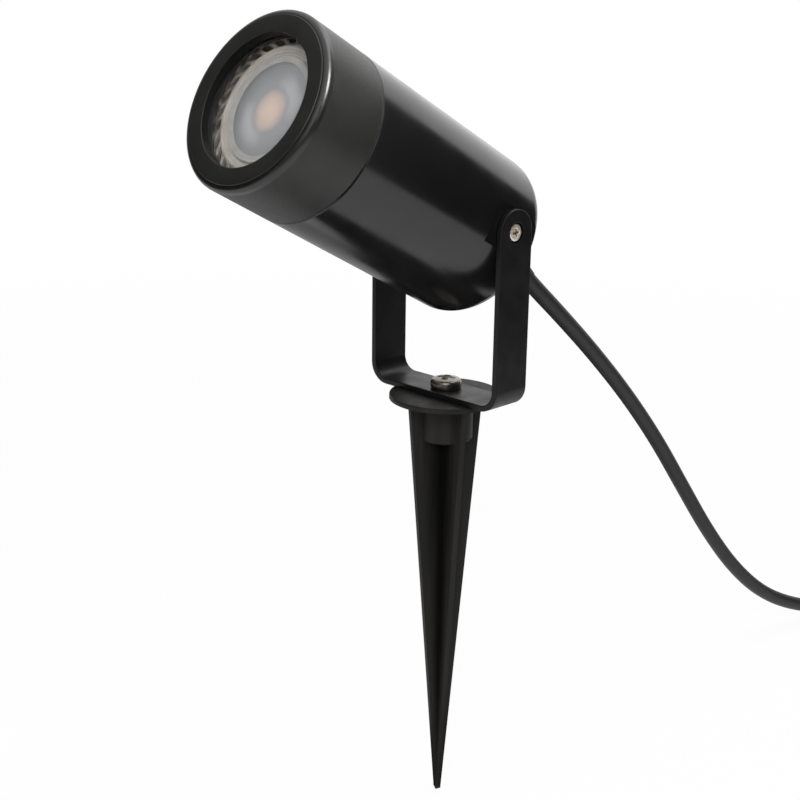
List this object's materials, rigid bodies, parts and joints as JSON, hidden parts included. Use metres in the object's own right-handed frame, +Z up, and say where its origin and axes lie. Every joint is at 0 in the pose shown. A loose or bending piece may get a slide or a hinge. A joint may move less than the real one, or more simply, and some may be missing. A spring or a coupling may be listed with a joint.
{
  "type": "garden spike spotlight",
  "caption": "Cylindrical garden spotlight that tilts in a U-bracket, which swivels on a ribbed ground spike, with a screw-on front cap and a rubber lead.",
  "frame": {"origin": "tip of the ground spike, on the spike's axis", "axes": "+Z up along the spike; +X along the head's tilt axis; the head aims towards -Y and upward"},
  "size_m": [0.0877, 0.509, 0.3036],
  "materials": {
    "spike_plastic": "matt moulded black",
    "brass": "plain brass",
    "stainless": "bright stainless steel",
    "bracket_paint": "satin black powder coat",
    "housing_black": "satin to gloss black coat on aluminium",
    "cap_black": "fine textured matt black coat on aluminium",
    "seal_rubber": "black silicone rubber",
    "front_glass": "clear toughened glass",
    "lamp_cream": "cream plastic",
    "lamp_lens": "blue-grey diffusing plastic",
    "lamp_white": "white plastic",
    "lamp_board": "aluminium circuit board",
    "lamp_chip": "yellow phosphor",
    "driver_green": "green circuit board",
    "nickel": "nickel plate",
    "holder_ceramic": "unglazed white ceramic",
    "zinc_steel": "zinc-plated steel",
    "terminal_nylon": "natural nylon",
    "wire_sleeve": "white glass-fibre sleeve",
    "core_brown": "brown insulation",
    "core_blue": "blue insulation",
    "core_green": "green and yellow insulation",
    "gland_nylon": "black nylon",
    "lead_rubber": "black rubber sheath",
    "tinned": "tinned copper"
  },
  "bodies": {
    "spike": {"spike": "spike_plastic", "spike_insert": "brass", "base_screw": "stainless"},
    "bracket": {"u_bracket": "bracket_paint", "cord_lead": "lead_rubber", "cord_coil": "lead_rubber", "cord_tie": "gland_nylon", "end_live": "core_brown", "end_neutral": "core_blue", "end_earth": "core_green", "end_ferrules": "tinned"},
    "head": {"body_housing": "housing_black", "pivot_screws": "stainless", "lamp_holder": "holder_ceramic", "holder_contacts": "brass", "holder_strap": "zinc_steel", "holder_screws": "zinc_steel", "strap_screws": "zinc_steel", "earth_screw": "brass", "terminal_block": "terminal_nylon", "terminal_clamps": "brass", "terminal_screws": "zinc_steel", "live_wire": "wire_sleeve", "neutral_wire": "wire_sleeve", "core_live": "core_brown", "core_neutral": "core_blue", "core_earth": "core_green", "earth_lug": "brass", "gland_washer": "seal_rubber", "gland_body": "gland_nylon", "gland_seal": "seal_rubber", "gland_nut": "gland_nylon", "gland_locknut": "gland_nylon", "cord_tail": "lead_rubber"},
    "lens_pack": {"lens_glass": "front_glass", "lens_gasket": "seal_rubber"},
    "cap": {"front_cap": "cap_black", "cap_o_ring": "seal_rubber", "lens_clip": "stainless"},
    "lamp": {"lamp_bezel": "lamp_cream", "lamp_lens": "lamp_lens", "lamp_shell": "lamp_white", "lamp_board": "lamp_board", "lamp_chip": "lamp_chip", "lamp_base": "lamp_white", "lamp_driver": "driver_green", "lamp_pins": "nickel"}
  },
  "joints": [
    {"name": "pan", "type": "hinge", "parent": "spike", "child": "bracket", "pos_m": [0, 0, 0.1676], "axis": [0, 0, 1], "continuous": true},
    {"name": "tilt", "type": "hinge", "parent": "bracket", "child": "head", "pos_m": [0, 0, 0.2312], "axis": [1, 0, 0], "range_deg": [-62, 47], "deforming": ["cord_lead"]},
    {"name": "cap_slide", "type": "slide", "parent": "head", "child": "lens_pack", "axis": [0, -0.8846, 0.4664], "range_m": [0, 0.0081]},
    {"name": "cap_turn", "type": "hinge", "parent": "lens_pack", "child": "cap", "pos_m": [0, 0, 0.2312], "axis": [0, -0.8846, 0.4664], "range_deg": [0, 1440]},
    {"name": "lamp_twist", "type": "hinge", "parent": "head", "child": "lamp", "pos_m": [0, 0, 0.2312], "axis": [0, -0.8846, 0.4664], "range_deg": [0, 25]}
  ],
  "couplings": [
    {"joint": "cap_slide", "follows": "cap_turn", "m_per_rad": 0.00031831}
  ]
}
